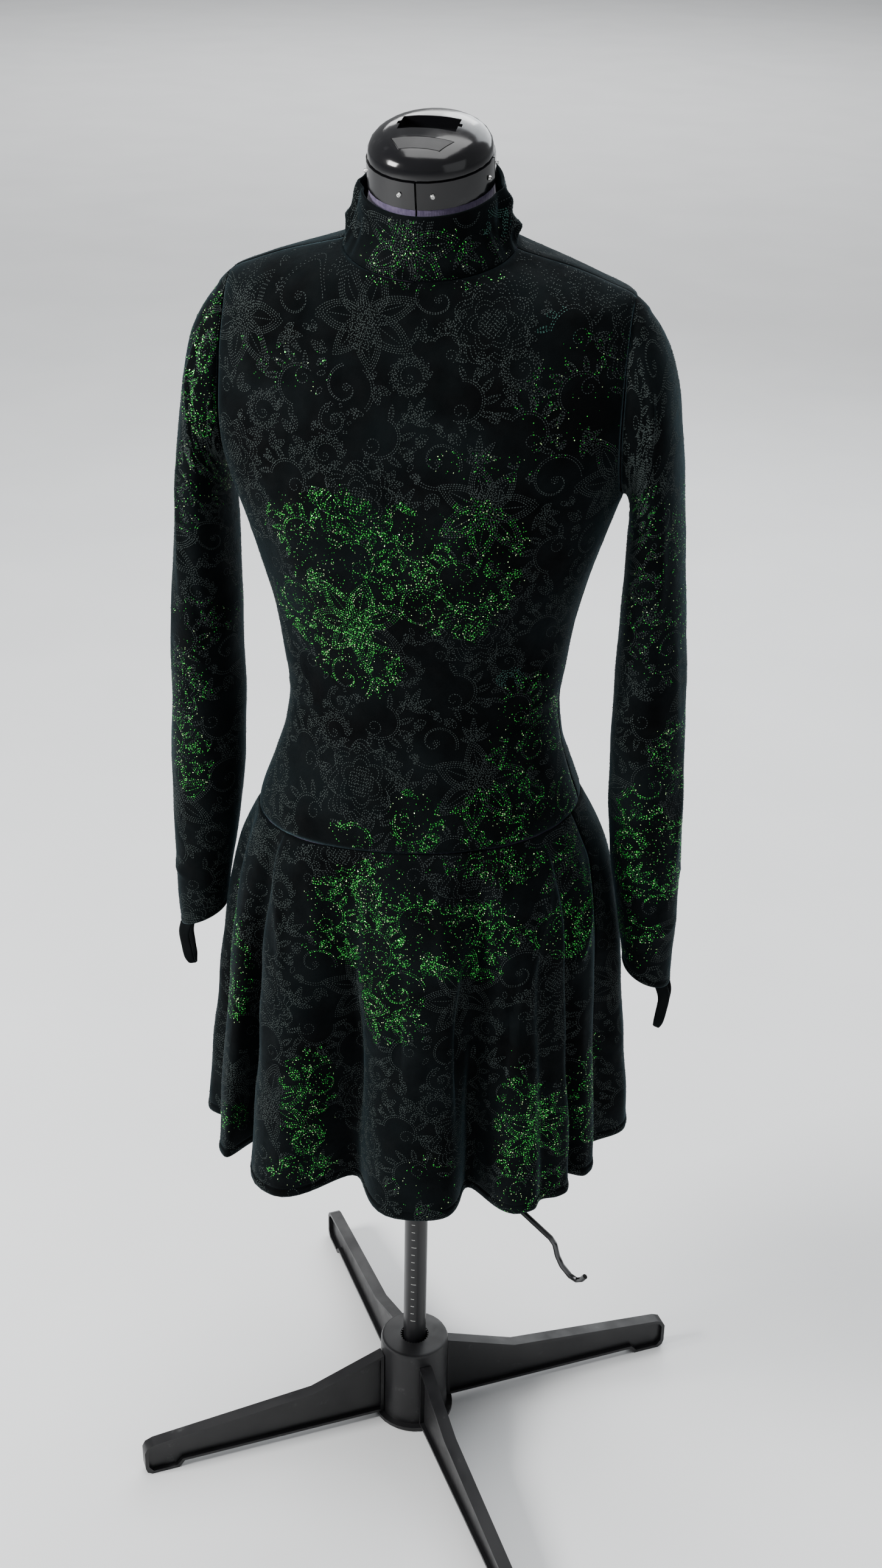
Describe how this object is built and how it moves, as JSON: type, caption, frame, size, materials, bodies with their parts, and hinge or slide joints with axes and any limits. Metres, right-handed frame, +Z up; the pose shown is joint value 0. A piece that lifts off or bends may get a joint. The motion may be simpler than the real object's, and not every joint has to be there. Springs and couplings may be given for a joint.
{
  "type": "long-sleeved velvet skater dress on a limbless dress form with a four-legged stand",
  "caption": "Long-sleeved velvet skater dress with a mock neck and finger loops, on a hollow limbless dress form over a pole, a hub and splayed legs, with a hem gauge.",
  "frame": {"origin": "on the floor, at the pole's axis, midway between the four feet", "axes": "+Z up, -Y the dress's front, +X the wearer's left"},
  "size_m": [0.5142, 0.5142, 1.3662],
  "materials": {
    "velvet": "near-black stretch velvet with a blue-grey nap and dotted green scrollwork",
    "velvet_edge": "narrow black stretch strap",
    "form_jersey": "violet-grey jersey over a moulded shell",
    "form_plastic": "moulded black plastic",
    "cap_gloss": "glossy black plastic",
    "cap_matte": "matte black plastic",
    "screw_steel": "small bright screw heads",
    "pole_black": "black coated tube",
    "base_plastic": "satin black moulded plastic with worn edges",
    "gauge_steel": "dark bright wire"
  },
  "bodies": {
    "stand": {"pole": "pole_black", "base_hub": "base_plastic", "base_leg_1": "base_plastic", "base_leg_2": "base_plastic", "base_leg_3": "base_plastic", "base_leg_4": "base_plastic"},
    "clamp": {"height_clamp": "form_plastic"},
    "form": {"form_front_right": "form_jersey", "form_front_left": "form_jersey", "form_back_left": "form_jersey", "form_back_right": "form_jersey", "form_carrier": "form_plastic", "neck_cap": "cap_gloss", "cap_panel": "cap_matte", "neck_band_1": "cap_gloss", "neck_band_2": "cap_gloss", "neck_band_3": "cap_gloss", "neck_band_4": "cap_gloss", "band_screw_1": "screw_steel", "band_screw_2": "screw_steel", "band_screw_3": "screw_steel", "band_screw_4": "screw_steel", "band_screw_5": "screw_steel", "band_screw_6": "screw_steel", "band_screw_7": "screw_steel", "band_screw_8": "screw_steel", "bodice_front": "velvet", "bodice_back": "velvet", "collar": "velvet", "sleeve_left": "velvet", "sleeve_right": "velvet", "skirt_front": "velvet", "skirt_back": "velvet", "finger_loop_left": "velvet_edge", "finger_loop_right": "velvet_edge"},
    "gauge_stop": {"gauge_stop": "base_plastic"},
    "gauge_arm": {"gauge_ring": "base_plastic", "gauge_wire": "gauge_steel"}
  },
  "joints": [
    {"name": "form_height", "type": "slide", "parent": "stand", "child": "clamp", "axis": [0, 0, 1], "range_m": [-0.02, 0.25]},
    {"name": "form_turn", "type": "hinge", "parent": "clamp", "child": "form", "pos_m": [0, 0, 0.6665], "axis": [0, 0, 1], "continuous": true},
    {"name": "gauge_height", "type": "slide", "parent": "stand", "child": "gauge_stop", "axis": [0, 0, 1], "range_m": [-0.18, 0.015]},
    {"name": "gauge_swing", "type": "hinge", "parent": "gauge_stop", "child": "gauge_arm", "pos_m": [0, 0, 0.3664], "axis": [0, 0, 1], "continuous": true}
  ]
}
